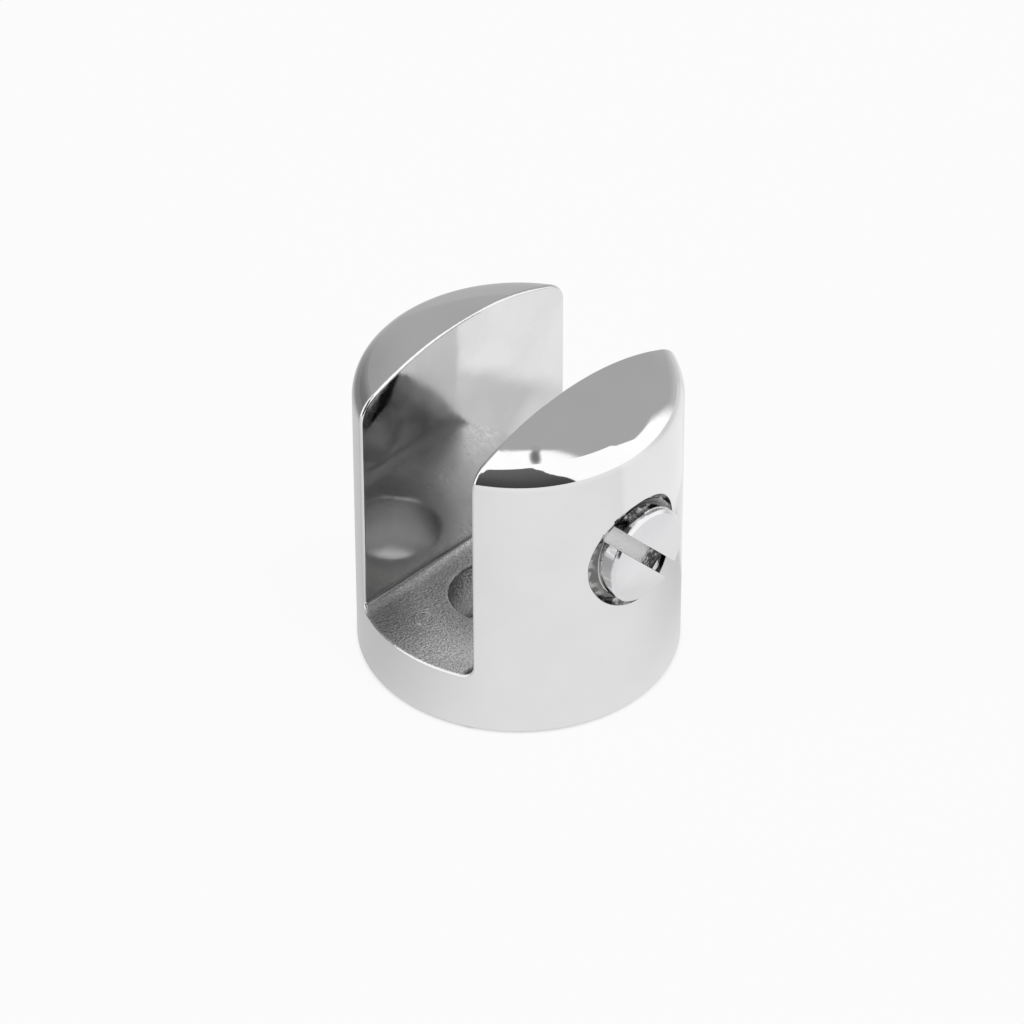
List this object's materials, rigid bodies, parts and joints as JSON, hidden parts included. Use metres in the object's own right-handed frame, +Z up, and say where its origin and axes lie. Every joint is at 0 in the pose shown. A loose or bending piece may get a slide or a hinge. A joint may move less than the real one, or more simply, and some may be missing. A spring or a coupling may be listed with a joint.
{
  "type": "glass panel clamp",
  "caption": "Round chrome clamp with a domed top and a straight slot that grips the edge of a glass panel with a side set screw.",
  "frame": {"origin": "on the body's round axis, in the plane of its flat base", "axes": "+Z up from the base, +Y along the glass slot, +X across the slot towards the cheek that holds the set screw"},
  "size_m": [0.0229, 0.022, 0.0236],
  "materials": {
    "plated_casting": "polished chrome plate on a die casting, rough as cast on the slot's floor",
    "plated_screw": "bright plated steel",
    "nylon_pad": "natural nylon"
  },
  "bodies": {
    "body": {"clamp_body": "plated_casting"},
    "pad": {"pressure_pad": "nylon_pad"},
    "screw": {"clamp_screw": "plated_screw"}
  },
  "joints": [
    {"name": "clamp_slide", "type": "slide", "parent": "body", "child": "pad", "axis": [-1, 0, 0], "range_m": [-0.001, 0.003]},
    {"name": "screw_turn", "type": "hinge", "parent": "pad", "child": "screw", "pos_m": [0.008, 0, 0.0129], "axis": [-1, 0, 0], "range_deg": [-290, 866]}
  ],
  "couplings": [
    {"joint": "screw_turn", "follows": "clamp_slide", "rad_per_m": 5026.5}
  ]
}
